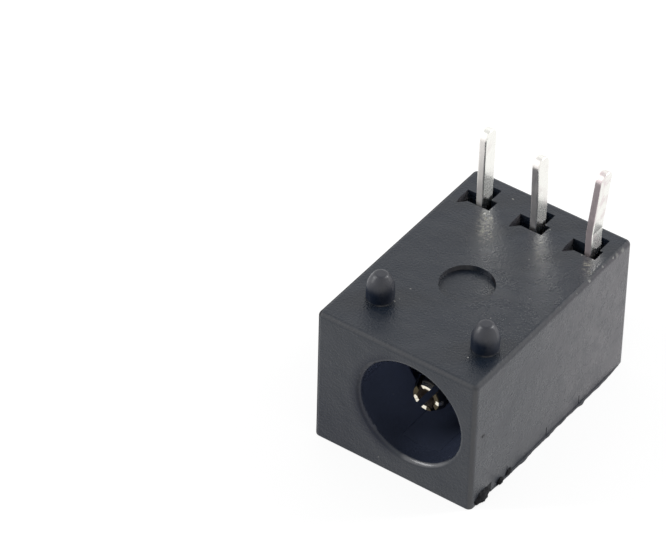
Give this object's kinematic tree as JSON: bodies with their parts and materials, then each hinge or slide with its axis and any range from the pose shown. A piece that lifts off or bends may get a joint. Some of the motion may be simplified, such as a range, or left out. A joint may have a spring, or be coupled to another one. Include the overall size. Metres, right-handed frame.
{
  "type": "dc barrel jack",
  "caption": "Board-mount dc barrel jack: a black moulded block with an offset round socket, split centre pin, locating pegs and flat solder blades on its board face.",
  "frame": {"origin": "middle of the flat face that the jack lies on, which is its top when it is on a board", "axes": "+Z out of the board face, along the blades and pegs; -Y out of the socket's mouth; +X towards the side that the socket is nearer to"},
  "size_m": [0.0064, 0.0094, 0.009],
  "materials": {
    "black_plastic": "semi-gloss black moulding, fine texture",
    "tinned_brass": "bright tin plate over stamped brass",
    "pin_brass": "thin bright plate over turned brass"
  },
  "bodies": {
    "root": {"housing": "black_plastic", "cover": "black_plastic", "centre_pin": "pin_brass", "pin_terminal": "tinned_brass", "sleeve_spring": "tinned_brass", "switch_contact": "tinned_brass"}
  },
  "joints": []
}
